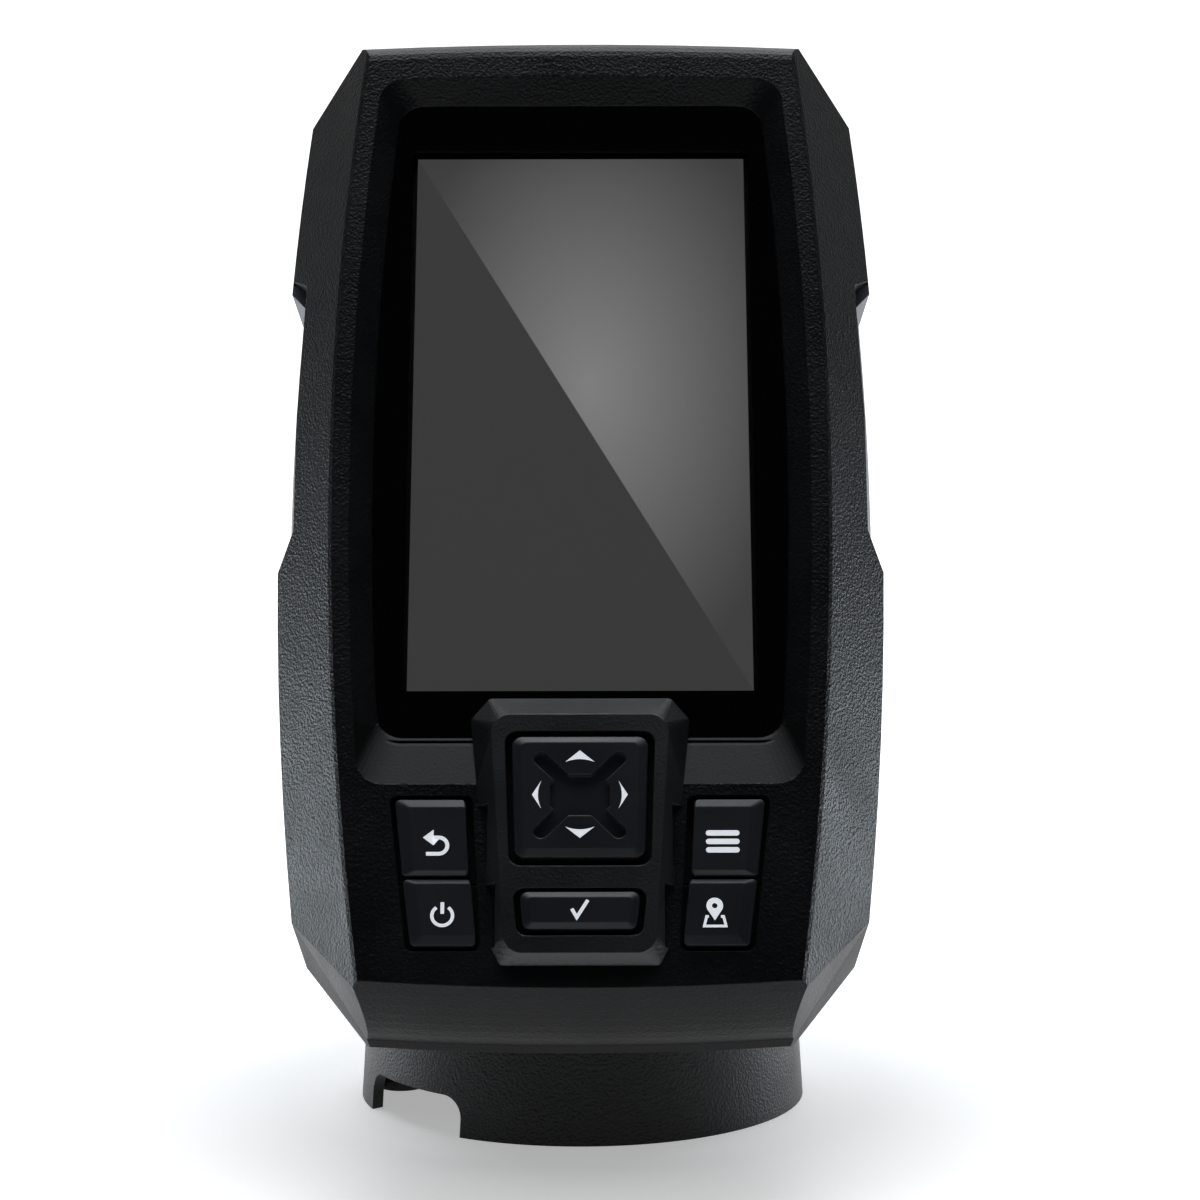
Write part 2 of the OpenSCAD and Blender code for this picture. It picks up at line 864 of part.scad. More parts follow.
module cradle() color([0.07, 0.07, 0.075]) on_face() {
    difference() {
        union() {
            slab(plate_face, plate_back)
                soft_polygon([
                    [-plate_half, rail_low], [-plate_half, rail_high + 2],
                    [plate_half, rail_high + 2], [plate_half, rail_low]
                ], 5);
            slab(head_back - slit, plate_face + slit)
                translate([-neck_half, rail_low])
                    square([2 * neck_half, rail_high - rail_low]);
            slab(head_face, head_back)
                translate([-head_half, rail_low])
                    square([2 * head_half, rail_high - rail_low]);
            slab(plate_back - slit, axis_depth)
                translate([-hub_half, axis_y - hub_r])
                    square([2 * hub_half, 2 * hub_r]);
            translate([-hub_half, axis_y, -axis_depth])
                rotate([0, 90, 0])
                    cylinder(r = hub_r, h = 2 * hub_half, $fn = 96);
        }
        translate([-hub_half - 1, axis_y, -axis_depth])
            rotate([0, 90, 0])
                cylinder(r = bolt_r + 0.06, h = 2 * hub_half + 2, $fn = 64);
        slab(plate_face - slit, lever_back + rail_gap)
            translate([-plate_half - 1, -4.5])
                square([13, 21.5]);
        translate([lever_at[0], lever_at[1], -plate_back - 1])
            cylinder(r = screw_r + 0.05, h = 5, $fn = 48);
    }
}

function lever_nose() = lever_at + lever_arm * [sin(lever_rest), -cos(lever_rest)];

module lock_lever() color([0.35, 0.36, 0.38]) on_face() {
    nose = lever_nose();
    difference() {
        union() {
            slab(lever_face, lever_back) {
                hull() {
                    translate(lever_at)
                        circle(r = 5.4, $fn = round_fn);
                    translate(nose)
                        circle(r = 2.6, $fn = round_fn);
                }
                hull() {
                    translate(lever_at)
                        circle(r = 4, $fn = round_fn);
                    translate([lever_at[0] - 18, lever_at[1] - 2])
                        circle(r = 3.5, $fn = round_fn);
                }
            }
            translate([lever_at[0] - 18, lever_at[1] - 2, -lever_back - 3])
                cylinder(r = 3, h = 4, $fn = 48);
            translate([nose[0], nose[1], -lever_face - 1])
                cylinder(r = nose_r, h = 4.2, $fn = 48);
        }
        translate([lever_at[0], lever_at[1], -lever_back - 1])
            cylinder(r = screw_r + 0.06, h = 5, $fn = 48);
        translate([lever_at[0], lever_at[1], -lever_face - 1.4])
            cylinder(r = 3.4, h = 2, $fn = 48);
    }
}

module lever_screw() color([0.7, 0.7, 0.72]) on_face()
    translate([lever_at[0], lever_at[1], 0])
        difference() {
            union() {
                translate([0, 0, -plate_back + 0.1])
                    cylinder(r = screw_r, h = 4, $fn = 48);
                translate([0, 0, -lever_face - 1.35])
                    cylinder(r = 3.2, h = 1.3, $fn = 48);
            }
            translate([0, 0, -lever_face - 0.8])
                cylinder(r = 1.3, h = 2, $fn = 6);
        }

// Plate profile of one fork arm, in the Y-Z plane.
module arm_outline() {
    translate([tilt_back, tilt_height])
        circle(r = arm_r, $fn = 96);
    polygon([
        [-6, base_h + 2], [16, base_h + 2],
        [tilt_back + arm_r, tilt_height], [tilt_back - arm_r, tilt_height]
    ]);
}

module along_x(from, to) {
    translate([from, 0, 0])
        rotate([90, 0, 90])
            linear_extrude(to - from)
                children();
}

module tilt_hole(r, from, to) {
    translate([from, tilt_back, tilt_height])
        rotate([0, 90, 0])
            cylinder(r = r, h = to - from, $fn = 64);
}

module fork() color([0.07, 0.07, 0.075]) {
    table_z = base_h + table_gap;
    difference() {
        union() {
            translate([0, 0, table_z])
                cylinder(r = table_r, h = table_t - table_gap, $fn = 128);
            translate([0, 0, spindle_low])
                cylinder(r = spindle_r, h = table_z - spindle_low + 1, $fn = 96);
            both_sides()
                along_x(arm_in, arm_in + arm_t)
                    intersection() {
                        arm_outline();
                        translate([-big / 2, table_z + 1])
                            square(big);
                    }
        }
        translate([0, 0, spindle_low - 1])
            cylinder(r = cable_r, h = 30, $fn = 96);
        tilt_hole(bolt_r + 0.1, -arm_in - arm_t - 1, arm_in + arm_t + 1);
        translate([-arm_in - arm_t - 1, tilt_back, tilt_height])
            rotate([0, 90, 0])
                cylinder(r = 6, h = 4, $fn = 6);
        translate([0, 0, table_z - 1])
            rotate([0, 0, 90 - swivel_range])
                rotate_extrude(angle = 2 * swivel_range, $fn = 128)
                    translate([stop_circle_r - stop_r - 0.3, 0])
                        square([2 * stop_r + 0.6, 4]);
        for (a = [-1, 1])
            translate([0, 0, table_z - 1])
                rotate([0, 0, 90 + a * swivel_range])
                    translate([stop_circle_r, 0, 0])
                        cylinder(r = stop_r + 0.3, h = 4, $fn = 48);
        for (a = [30, 150, 270])
            translate(concat(on_circle(10.5, a), [spindle_low - 1]))
                cylinder(r = screw_r + 0.05, h = 10, $fn = 32);
    }
}

module tilt_bolt() color([0.75, 0.75, 0.77]) {
    tilt_hole(bolt_r, -arm_in - arm_t, knob_from + 9.7);
    translate([-arm_in - arm_t - 0.8, tilt_back, tilt_height])
        rotate([0, 90, 0])
            cylinder(r = 5.8, h = 3.6, $fn = 6);
}

module tilt_washers() color([0.8, 0.8, 0.78])
    both_sides()
        translate([hub_half + 0.05, tilt_back, tilt_height])
            rotate([0, 90, 0])
                ring(8, bolt_r + 0.1, washer_t);

module tilt_knob() color([0.07, 0.07, 0.075])
    translate([knob_from, tilt_back, tilt_height])
        rotate([0, 90, 0])
            difference() {
                union() {
                    cylinder(r = knob_r - 1.6, h = knob_t, $fn = 96);
                    for (i = [0 : knob_lobes - 1])
                        translate(concat(on_circle(knob_r - 3, i * 360 / knob_lobes), [2]))
                            cylinder(r = 3, h = knob_t - 2, $fn = 48);
                }
                for (i = [0 : knob_lobes - 1])
                    translate(concat(on_circle(knob_r + 1, (i + 0.5) * 360 / knob_lobes), [2]))
                        cylinder(r = 3.2, h = knob_t, $fn = 48);
                translate([0, 0, -1])
                    cylinder(r = insert_r + 0.02, h = 11, $fn = 64);
            }

module knob_insert() color([0.8, 0.65, 0.3])
    translate([knob_from, tilt_back, tilt_height])
        rotate([0, 90, 0])
            ring(insert_r, bolt_r + 0.05, 9.9);

// Slot for the cable: a rounded arch through the skirt.
module cable_notch() {
    notch_half = 11.9;
    notch_h = 6.5;
    corner = 3.5;
    rotate([0, 0, -50.5])
        translate([0, -20, 0])
            rotate([90, 0, 0])
                linear_extrude(30) {
                    translate([-notch_half, -1])
                        square([2 * notch_half, notch_h - corner + 1]);
                    translate([corner - notch_half, 0])
                        square([2 * (notch_half - corner), notch_h]);
                    for (s = [-1, 1])
                        translate([s * (notch_half - corner), notch_h - corner])
                            circle(r = corner, $fn = 48);
                }
}

module base_shell() color([0.08, 0.085, 0.095]) {
    difference() {
        union() {
            rotate_extrude($fn = 128)
                base_profile();
            for (a = [85 : 90 : 355])
                translate(concat(on_circle(deck_circle_r, a), [0]))
                    cylinder(r = 4, h = base_h - 1, $fn = 48);
            translate([0, stop_circle_r, base_h - 1])
                cylinder(r = stop_r, h = 3.4, $fn = 48);
        }
        for (a = [85 : 90 : 355])
            translate(concat(on_circle(deck_circle_r, a), [-1]))
                cylinder(r = deck_hole_r, h = base_h + 2, $fn = 48);
        cable_notch();
    }
}

// Skirt, top, groove for the glide ring, and the boss round the spindle, as one section.
module base_profile() {
    skirt_top = base_r - 1.2;
    soft = 2;
    polygon(concat(
        [[base_r - 2, 0], [base_r, 0]],
        [for (a = [0 : 15 : 90]) [skirt_top - soft * (1 - cos(a)), base_h - soft * (1 - sin(a))]],
        [
            [17.1, base_h], [17.1, base_h - 0.5], [spindle_r + run_gap, base_h - 0.5],
            [spindle_r + run_gap, boss_low], [ring_r + 1, boss_low], [ring_r + 1, base_h - 3],
            [skirt_top - 2, base_h - 3]
        ]
    ));
}

module glide_ring() color([0.85, 0.85, 0.82])
    translate([0, 0, base_h - 0.5])
        ring(17, spindle_r + 0.4, 0.8);

module wave_washer() color([0.7, 0.7, 0.72])
    translate([0, 0, spindle_low + 0.05])
        ring(ring_r - 0.4, spindle_r + 0.4, 0.3);

module swivel_ring() color([0.1, 0.1, 0.11])
    difference() {
        translate([0, 0, spindle_low - ring_t])
            ring(ring_r, cable_r, ring_t);
        for (a = [30, 150, 270])
            translate(concat(on_circle(10.5, a), [0]))
                cylinder(r = screw_r + 0.1, h = 10, $fn = 32);
    }

module ring_screws() color([0.7, 0.7, 0.72])
    for (a = [30, 150, 270])
        translate(concat(on_circle(10.5, a), [0]))
            difference() {
                union() {
                    translate([0, 0, 3.4])
                        cylinder(r = 2.4, h = 1.6, $fn = 48);
                    translate([0, 0, 5])
                        cylinder(r = screw_r, h = 9, $fn = 32);
                }
                translate([0, 0, 3])
                    cylinder(r = 1.2, h = 1.2, $fn = 6);
            }

front_housing();
keypad_surround();
display_window();
window_adhesive();
lcd_panel();
backlight_unit();
display_ribbon();
keypad_board();
key_domes();
keypad_membrane();
main_board();
board_chips();
sonar_shield();
sonar_transformer();
gps_antenna();
beeper();
board_link();
board_screws();
rear_housing();
housing_gasket();
housing_screws();
socket_body();
socket_pins();
socket_seal();
socket_nut();
vent_plug();
back_key();
power_key();
menu_key();
mark_key();
select_key();
pad_pivot();
arrow_pad();
cradle();
lock_lever();
lever_screw();
fork();
tilt_bolt();
tilt_washers();
tilt_knob();
knob_insert();
base_shell();
glide_ring();
wave_washer();
swivel_ring();
ring_screws();
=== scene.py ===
"""Fish finder on a tilt and swivel mount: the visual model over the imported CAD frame."""
import json
import math

import bpy
from mathutils import Matrix, Vector


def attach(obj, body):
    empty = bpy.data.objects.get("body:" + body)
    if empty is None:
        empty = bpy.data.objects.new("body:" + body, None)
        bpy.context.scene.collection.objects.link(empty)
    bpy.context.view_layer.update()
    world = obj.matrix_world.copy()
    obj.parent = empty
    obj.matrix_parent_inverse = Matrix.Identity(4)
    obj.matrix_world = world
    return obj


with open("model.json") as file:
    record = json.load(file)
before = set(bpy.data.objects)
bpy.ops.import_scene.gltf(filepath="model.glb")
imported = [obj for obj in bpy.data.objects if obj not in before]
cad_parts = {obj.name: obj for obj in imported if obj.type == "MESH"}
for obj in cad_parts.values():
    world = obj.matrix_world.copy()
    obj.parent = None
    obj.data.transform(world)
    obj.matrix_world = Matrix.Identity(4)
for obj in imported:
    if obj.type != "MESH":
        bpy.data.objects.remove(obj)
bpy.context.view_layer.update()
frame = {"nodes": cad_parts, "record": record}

MM = 0.001
RECORD = frame["record"]
BODY = {node: body for body, nodes in RECORD["behaviour"]["bodies"].items() for node in nodes}
SLOT = {entry["node"]: entry["material_slot"] for entry in RECORD["subparts"]}
JOINT = {joint["name"]: joint for joint in RECORD["behaviour"]["joints"]}

# The face frame: x right, y up the face, z out of it, in mm. Its origin is the middle of the
# picture's lower edge, on the plane of the rim.
TILT_AXIS_UP, TILT_AXIS_BEHIND = 10, 66
FACE_UP = Vector(JOINT["lift_off"]["axis"])
FACE_RIGHT = Vector((1, 0, 0))
FACE_OUT = FACE_RIGHT.cross(FACE_UP)
FACE_ORIGIN = (Vector(JOINT["tilt"]["pos_m"]) - TILT_AXIS_UP * MM * FACE_UP
               + TILT_AXIS_BEHIND * MM * FACE_OUT)
SCREEN_W, SCREEN_H = 53.86, 95.04
CLEAR_MARGIN = 0.7


def on_face(x, y, z=0.0):
    return FACE_ORIGIN + MM * (x * FACE_RIGHT + y * FACE_UP + z * FACE_OUT)


def srgb(r, g, b):
    """A colour given as 0 to 255 display values, as the linear RGBA that shaders take."""
    def linear(value):
        v = value / 255
        return v / 12.92 if v <= 0.04045 else ((v + 0.055) / 1.055) ** 2.4

    return (linear(r), linear(g), linear(b), 1.0)


# ---------- camera ----------

CAMERA_AT = Vector((3.2, -600.0, 151.5)) * MM
CAMERA_PITCH_DOWN = 6.46
CAMERA_ROLL = 0.1
SENSOR = 36.0
LENS = 108.33


def make_camera():
    data = bpy.data.cameras.new("camera")
    data.sensor_width = SENSOR
    data.lens = LENS
    data.clip_start = 0.01
    camera = bpy.data.objects.new("camera", data)
    camera.location = CAMERA_AT
    camera.rotation_euler = (math.radians(90 - CAMERA_PITCH_DOWN), math.radians(CAMERA_ROLL), 0)
    bpy.context.scene.collection.objects.link(camera)
    bpy.context.scene.camera = camera


make_camera()


# ---------- materials ----------

class Look:
    """A node material, with short calls for the nodes that the looks here share."""

    def __init__(self, name):
        self.material = bpy.data.materials.new(name)
        self.material.use_nodes = True
        self.tree = self.material.node_tree
        self.tree.nodes.clear()
        self.output = self.tree.nodes.new("ShaderNodeOutputMaterial")
        self.shader = self.tree.nodes.new("ShaderNodeBsdfPrincipled")
        self.join(self.shader.outputs[0], self.output.inputs["Surface"])
        self.place = self.tree.nodes.new("ShaderNodeTexCoord").outputs["Object"]

    def join(self, source, target):
        self.tree.links.new(source, target)

    def feed(self, socket, value):
        """Sets a socket to a constant, or joins another socket to it."""
        if isinstance(value, bpy.types.NodeSocket):
            self.join(value, socket)
        else:
            socket.default_value = value

    def set(self, **values):
        for name, value in values.items():
            self.feed(self.shader.inputs[name.replace("_", " ")], value)

    def noise(self, scale, detail=3.0, rough=0.55, stretch=None):
        node = self.tree.nodes.new("ShaderNodeTexNoise")
        node.inputs["Scale"].default_value = scale
        node.inputs["Detail"].default_value = detail
        node.inputs["Roughness"].default_value = rough
        self.join(self.stretched(stretch) if stretch else self.place, node.inputs["Vector"])
        return node.outputs["Fac"]

    def cells(self, scale, smooth=0.6):
        node = self.tree.nodes.new("ShaderNodeTexVoronoi")
        node.feature = "SMOOTH_F1"
        node.inputs["Scale"].default_value = scale
        node.inputs["Smoothness"].default_value = smooth
        self.join(self.place, node.inputs["Vector"])
        return node.outputs["Distance"]

    def stretched(self, factors):
        node = self.tree.nodes.new("ShaderNodeMapping")
        node.inputs["Scale"].default_value = factors
        self.join(self.place, node.inputs["Vector"])
        return node.outputs["Vector"]

    def math(self, operation, a, b=0.0, clamp=False):
        node = self.tree.nodes.new("ShaderNodeMath")
        node.operation = operation
        node.use_clamp = clamp
        self.feed(node.inputs[0], a)
        self.feed(node.inputs[1], b)
        return node.outputs[0]

    def spread(self, value, low, high, new_low, new_high):
        node = self.tree.nodes.new("ShaderNodeMapRange")
        self.feed(node.inputs["Value"], value)
        ends = {"From Min": low, "From Max": high, "To Min": new_low, "To Max": new_high}
        for name, number in ends.items():
            self.feed(node.inputs[name], number)
        return node.outputs["Result"]

    def mix(self, factor, a, b):
        node = self.tree.nodes.new("ShaderNodeMix")
        node.data_type = "RGBA"
        self.feed(node.inputs[0], factor)
        self.feed(node.inputs[6], a)
        self.feed(node.inputs[7], b)
        return node.outputs[2]

    def along(self, axis, start):
        """How far a point lies from start along axis, in metres."""
        gap = self.tree.nodes.new("ShaderNodeVectorMath")
        gap.operation = "SUBTRACT"
        self.join(self.place, gap.inputs[0])
        gap.inputs[1].default_value = start
        dot = self.tree.nodes.new("ShaderNodeVectorMath")
        dot.operation = "DOT_PRODUCT"
        self.join(gap.outputs[0], dot.inputs[0])
        dot.inputs[1].default_value = axis
        return dot.outputs["Value"]

    def soft_edges(self, radius):
        """A normal that rounds the edges, and a mask of how near a point is to one."""
        bevel = self.tree.nodes.new("ShaderNodeBevel")
        bevel.samples = 4
        bevel.inputs["Radius"].default_value = radius
        geometry = self.tree.nodes.new("ShaderNodeNewGeometry")
        dot = self.tree.nodes.new("ShaderNodeVectorMath")
        dot.operation = "DOT_PRODUCT"
        self.join(bevel.outputs[0], dot.inputs[0])
        self.join(geometry.outputs["Normal"], dot.inputs[1])
        return bevel.outputs[0], self.spread(dot.outputs["Value"], 0.995, 0.8, 0.0, 1.0)

    def bump(self, height, depth, normal=None):
        node = self.tree.nodes.new("ShaderNodeBump")
        node.inputs["Strength"].default_value = 1.0
        node.inputs["Distance"].default_value = depth
        self.join(height, node.inputs["Height"])
        if normal:
            self.join(normal, node.inputs["Normal"])
        self.join(node.outputs[0], self.shader.inputs["Normal"])


def brighter(colour, times, lift=0.0):
    return tuple(min(1.0, c * times + lift) for c in colour[:3]) + (1.0,)


def plastic(name, colour, rough, grain, depth, wear, edge=0.25, shine=0.3, strip=None):
    """Moulded plastic: a pebble grain of that many cells a metre, uneven gloss, worn edges.
    A strip is a smooth part of another colour, as (colour, roughness, shine, mask maker)."""
    look = Look(name)
    normal, at_edge = look.soft_edges(edge * MM)
    pebbles = look.math("MULTIPLY", look.cells(grain), 0.8)
    fine = look.math("MULTIPLY", look.noise(grain * 1.7, 4.0), 0.6)
    height = look.math("ADD", pebbles, fine)
    cloud = look.spread(look.noise(45.0, 5.0), 0.3, 0.7, 0.0, 0.35)
    shade = look.mix(cloud, colour, brighter(colour, 1.5))
    scuffs = look.spread(look.noise(260.0, 4.0), 0.35, 0.7, 0.0, wear)
    shade = look.mix(look.math("MULTIPLY", at_edge, scuffs), shade, brighter(colour, 2.2, 0.01))
    gloss = look.spread(look.noise(70.0, 4.0), 0.3, 0.7, rough - 0.05, rough + 0.07)
    # A strip's colour is its own on the ramp, and a painted reflection on the grip strips.
    if strip:
        strip_colour, strip_rough, strip_shine, mask_maker = strip
        mask = mask_maker(look)
        shine = look.spread(mask, 0.0, 1.0, shine, strip_shine)
        shade = look.mix(mask, shade, strip_colour)
        gloss = look.spread(mask, 0.0, 1.0, gloss, strip_rough)
        height = look.math("MULTIPLY", height, look.spread(mask, 0.0, 1.0, 1.0, 0.15))
    look.bump(height, depth * MM, normal)
    look.set(Base_Color=shade, Roughness=gloss, Specular_IOR_Level=shine)
    return look.material


# Where the smooth parts lie in the face frame
GRIP_LOW, GRIP_HIGH, GRIP_FROM = 24.5, 76.0, 43.0
RAMP_LOW, RAMP_HIGH, RAMP_HALF, RAMP_SUNK = -17.0, -6.7, 37.0, 0.05


def between(look, axis, low, high):
    """1 where a point lies from low to high mm along an axis of the face frame, else 0."""
    middle = FACE_ORIGIN + (low + high) / 2 * MM * axis
    gap = look.math("ABSOLUTE", look.along(axis, middle))
    return look.math("LESS_THAN", gap, (high - low) / 2 * MM)


def grip_reflection_mask(look):
    """The smooth strips in the two side notches, where a light colour is a painted reflection."""
    in_length = between(look, FACE_UP, GRIP_LOW, GRIP_HIGH)
    beside = look.math("ABSOLUTE", look.along(FACE_RIGHT, FACE_ORIGIN))
    return look.math("MULTIPLY", in_length, look.math("GREATER_THAN", beside, GRIP_FROM * MM))


def ramp_mask(look):
    """The satin ramp that leads from the keys up to the window, which is sunk below the rim."""
    in_length = between(look, FACE_UP, RAMP_LOW, RAMP_HIGH)
    in_width = between(look, FACE_RIGHT, -RAMP_HALF, RAMP_HALF)
    out = look.along(FACE_OUT, FACE_ORIGIN)
    inside = look.math("MULTIPLY", in_length, in_width)
    return look.math("MULTIPLY", inside, look.math("LESS_THAN", out, -RAMP_SUNK * MM))


def metal(name, colour, rough, stretch=(1, 1, 14)):
    """Turned or pressed metal with fine marks along one way and slightly dull patches."""
    look = Look(name)
    normal, at_edge = look.soft_edges(0.15 * MM)
    marks = look.noise(1500.0, 4.0, 0.6, stretch)
    look.bump(marks, 0.006 * MM, normal)
    patches = look.spread(look.noise(120.0), 0.35, 0.7, 0.0, 0.5)
    shade = look.mix(patches, colour, brighter(colour, 0.75))
    look.set(Base_Color=look.mix(look.math("MULTIPLY", at_edge, 0.3), shade, (0.9, 0.9, 0.9, 1.0)),
             Metallic=1.0, Roughness=look.spread(marks, 0.3, 0.7, rough - 0.06, rough + 0.1))
    return look.material


def soft(name, colour, rough=0.6):
    """Rubber, film, ceramic or nylon: a fine orange-peel surface with cloudy gloss."""
    look = Look(name)
    normal, at_edge = look.soft_edges(0.2 * MM)
    look.bump(look.noise(900.0, 4.0), 0.02 * MM, normal)
    dusty = brighter(colour, 1.3, 0.01)
    look.set(Base_Color=look.mix(look.math("MULTIPLY", at_edge, look.noise(150.0)), colour, dusty),
             Roughness=look.spread(look.noise(80.0), 0.3, 0.7, rough - 0.06, rough + 0.08))
    return look.material


def circuit_board(name):
    """Solder mask with faint copper tracks under it."""
    look = Look(name)
    tracks = look.tree.nodes.new("ShaderNodeTexBrick")
    look.join(look.place, tracks.inputs["Vector"])
    tracks.inputs["Scale"].default_value = 220.0
    tracks.inputs["Mortar Size"].default_value = 0.02
    mask = look.spread(look.noise(300.0), 0.45, 0.5, 0.0, 1.0)
    copper = look.math("MULTIPLY", tracks.outputs["Fac"], mask)
    colour = look.mix(copper, srgb(12, 60, 35), srgb(60, 120, 60))
    look.bump(tracks.outputs["Fac"], 0.02 * MM)
    look.set(Base_Color=colour, Roughness=look.spread(look.noise(60.0), 0.3, 0.7, 0.28, 0.4))
    return look.material


def screen_painted_glare(name):
    """The display, which is off: its plain dark grey half is an emission, a painted glow, and its
    brighter half with a bright spot is a painted reflection, also given as emission.
    """
    look = Look(name)
    across = look.math("DIVIDE", look.along(FACE_RIGHT, FACE_ORIGIN), SCREEN_W * MM)
    up = look.math("DIVIDE", look.along(FACE_UP, FACE_ORIGIN), SCREEN_H * MM)
    past = look.math("ADD", look.math("ADD", across, up), -0.5)
    # The painted reflection is brightest at its middle, which lies a little right and above, and
    # fades with the distance from it.
    glare_x = look.math("MULTIPLY", look.math("ADD", across, -0.03), 1.25)
    glare_y = look.math("MULTIPLY", look.math("ADD", up, -0.56), 1.35)
    squares = look.math("ADD", look.math("POWER", glare_x, 2.0), look.math("POWER", glare_y, 2.0))
    painted_glow = look.spread(look.math("SQRT", squares), 0.02, 0.78, 1.0, 0.0)
    glare_colour = look.mix(look.math("POWER", painted_glow, 1.15), srgb(64, 64, 64), srgb(128, 128, 128))
    # The upper right side of the diagonal holds the painted reflection; the lower left holds the
    # painted grey glow.
    half = look.spread(past, -0.0015, 0.0015, 0.0, 1.0)
    shade = look.mix(half, srgb(58, 58, 58), glare_colour)
    inside = look.math("MULTIPLY", between(look, FACE_RIGHT, -SCREEN_W / 2, SCREEN_W / 2),
                       between(look, FACE_UP, 0, SCREEN_H))
    # The emission paints both the screen's grey and the reflection on it.
    look.set(Base_Color=srgb(6, 6, 7), Roughness=look.spread(look.noise(500.0), 0.3, 0.7, 0.5, 0.6),
             Emission_Color=look.mix(inside, (0, 0, 0, 1), shade), Emission_Strength=1.0,
             Specular_IOR_Level=0.1)
    look.bump(look.noise(2500.0), 0.002 * MM)
    return look.material


def window(name):
    """A clear sheet with a black printed border behind it."""
    look = Look(name)
    half_clear = SCREEN_W / 2 + CLEAR_MARGIN
    clear = look.math("MULTIPLY", between(look, FACE_RIGHT, -half_clear, half_clear),
                      between(look, FACE_UP, -CLEAR_MARGIN, SCREEN_H + CLEAR_MARGIN))
    smears = look.spread(look.noise(40.0, 5.0), 0.4, 0.8, 0.05, 0.12)
    look.set(Base_Color=srgb(4, 4, 5), Roughness=smears, Specular_IOR_Level=0.35)
    look.bump(look.noise(30.0, 2.0), 0.004 * MM)
    through = look.tree.nodes.new("ShaderNodeBsdfTransparent")
    blend = look.tree.nodes.new("ShaderNodeMixShader")
    look.join(look.math("MULTIPLY", clear, 0.97), blend.inputs[0])
    look.join(look.shader.outputs[0], blend.inputs[1])
    look.join(through.outputs[0], blend.inputs[2])
    look.join(blend.outputs[0], look.output.inputs["Surface"])
    return look.material


# The grip strips' light mauve grey is a painted reflection on smooth strips of black plastic; the
# ramp's dark satin is its own colour.
GRIP_PAINTED_REFLECTION = (srgb(84, 84, 96), 0.4, 0.3, grip_reflection_mask)
RAMP_STRIP = (srgb(10, 10, 12), 0.4, 0.22, ramp_mask)

LOOKS = {
    "shell_black": plastic("pebble_plastic", srgb(8, 9, 12), rough=0.36, grain=2200.0,
                           depth=0.09, wear=0.3, strip=RAMP_STRIP),
    "rear_black": plastic("rear_plastic", srgb(12, 12, 15), rough=0.45, grain=2400.0,
                          depth=0.05, wear=0.35, strip=GRIP_PAINTED_REFLECTION),
    "key_black": plastic("key_plastic", srgb(30, 31, 37), rough=0.38, grain=5000.0,
                         depth=0.012, wear=0.3, edge=0.35, shine=0.5),
    "mount_black": plastic("mount_plastic", srgb(2, 2, 3), rough=0.42, grain=2000.0,
                           depth=0.1, wear=0.4, shine=0.08),
    "lever_grey": plastic("lever_plastic", srgb(92, 94, 98), rough=0.45, grain=2600.0,
                          depth=0.03, wear=0.4),
    "window_black": window("window_sheet"),
    "adhesive_black": soft("foam_tape", srgb(14, 14, 14), 0.85),
    "lcd_glass": screen_painted_glare("display_painted_glare"),
    "bright_steel": metal("stainless", srgb(190, 190, 193), 0.3),
    "flex_amber": soft("polyimide_film", srgb(190, 120, 30), 0.35),
    "board_green": circuit_board("circuit_board"),
    "chip_black": soft("moulded_epoxy", srgb(32, 32, 34), 0.55),
    "ceramic_cream": soft("fired_ceramic", srgb(215, 205, 180), 0.5),
    "rubber_black": soft("black_rubber", srgb(28, 28, 29), 0.7),
    "brass_pins": metal("turned_brass", srgb(205, 165, 85), 0.25),
    "seal_orange": soft("silicone_seal", srgb(200, 85, 30), 0.45),
    "nylon_white": soft("natural_nylon", srgb(225, 224, 216), 0.5),
}


# ---------- CAD nodes ----------

def wear(obj, material):
    """Gives the object that one material."""
    if not obj.material_slots:
        obj.data.materials.append(material)
    for slot in obj.material_slots:
        slot.link = "OBJECT"
        slot.material = material


ISLAND_LOOK = plastic("island_plastic", srgb(14, 15, 18), rough=0.38, grain=2200.0,
                      depth=0.05, wear=0.3, shine=1.0)

for node, obj in frame["nodes"].items():
    wear(obj, ISLAND_LOOK if node == "keypad_surround" else LOOKS[SLOT[node]])


# ---------- marks on the keys ----------

MARK_DEPTH = 0.05
SMALL_KEY_TOP = 0.9
ISLAND_KEY_TOP = 2.7


def arc(centre, radius, start, end, steps=24):
    angles = [math.radians(start + (end - start) * i / steps) for i in range(steps + 1)]
    return [(centre[0] + radius * math.cos(a), centre[1] + radius * math.sin(a)) for a in angles]


def stroke(points, width):
    """The outline of a line of that width along the points, with square ends."""
    sides = []
    for turn in (1, -1):
        side = []
        for i, point in enumerate(points):
            before = Vector(points[max(i - 1, 0)])
            after = Vector(points[min(i + 1, len(points) - 1)])
            here = Vector(point)
            first = (here - before).normalized() if i else (after - here).normalized()
            last = (after - here).normalized() if i < len(points) - 1 else first
            mitre = (first + last).normalized()
            reach = turn * width / 2 / max(0.4, mitre.dot(first))
            side.append((here.x - reach * mitre.y, here.y + reach * mitre.x))
        sides.append(side)
    return sides[0] + sides[1][::-1]


def bar(x0, x1, y, thick):
    """A flat bar with round ends."""
    r = thick / 2
    return arc((x1 - r, y), r, -90, 90, 8) + arc((x0 + r, y), r, 90, 270, 8)


def arrowhead(tip, base_middle, half, hollow):
    """A triangle whose base curves in towards its tip."""
    tip, middle = Vector(tip), Vector(base_middle)
    ahead = (tip - middle).normalized()
    across = Vector((-ahead.y, ahead.x))
    base = []
    for i in range(9):
        t = i / 4 - 1
        base.append(tuple(middle - half * t * across + hollow * (1 - t * t) * ahead))
    return [tuple(tip)] + base


